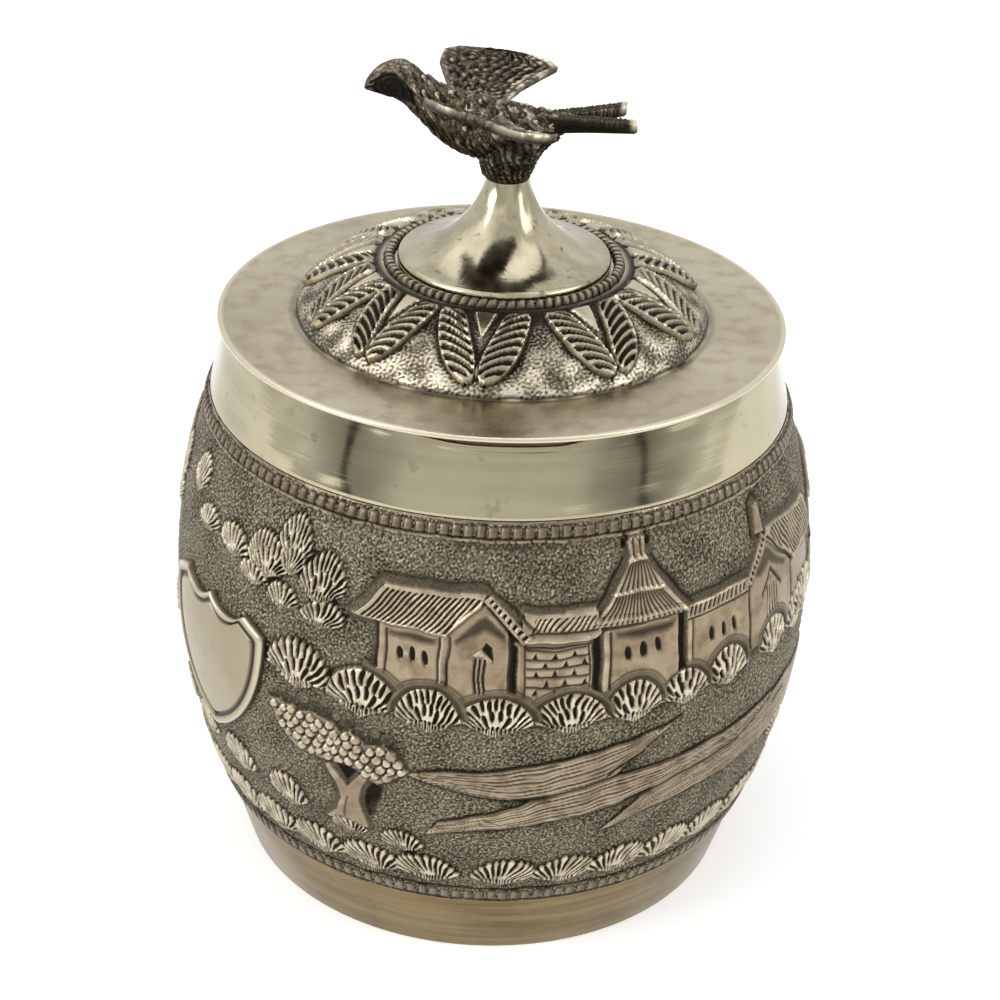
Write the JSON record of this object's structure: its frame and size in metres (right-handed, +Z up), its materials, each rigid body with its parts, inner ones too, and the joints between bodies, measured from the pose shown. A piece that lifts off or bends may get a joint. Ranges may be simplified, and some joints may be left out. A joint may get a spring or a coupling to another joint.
{
  "type": "lidded caddy",
  "caption": "Round barrel-shaped silver caddy with a chased village frieze, plain mouth and foot bands, and a lift-off lid with a leaf dome and a flying bird finial.",
  "frame": {"origin": "on the axis at the underside of the foot", "axes": "+Z up along the caddy's axis, -Y to the front, the bird's head towards -X"},
  "size_m": [0.0942, 0.0942, 0.1203],
  "materials": {
    "polished_silver": "worn polish, warm grey",
    "chased_silver": "chased and matted, dark in the recesses",
    "cast_silver": "cast, oxidised, bright on the edges",
    "fastening_silver": "plain"
  },
  "bodies": {
    "canister": {"foot_ring": "polished_silver", "base_plate": "polished_silver", "barrel_wall": "chased_silver", "neck_collar": "polished_silver", "shield_cartouche": "polished_silver"},
    "lid": {"lid_plate": "chased_silver", "lid_bezel": "polished_silver", "knob_trumpet": "polished_silver", "knob_bead_ring": "chased_silver", "bird_post": "cast_silver", "bird_body": "cast_silver", "bird_left_wing": "cast_silver", "bird_right_wing": "cast_silver", "finial_stud": "fastening_silver", "finial_washer": "fastening_silver", "finial_nut": "fastening_silver"}
  },
  "joints": [
    {"name": "lid_lift", "type": "slide", "parent": "canister", "child": "lid", "axis": [0, 0, 1], "range_m": [0, 0.04]}
  ]
}
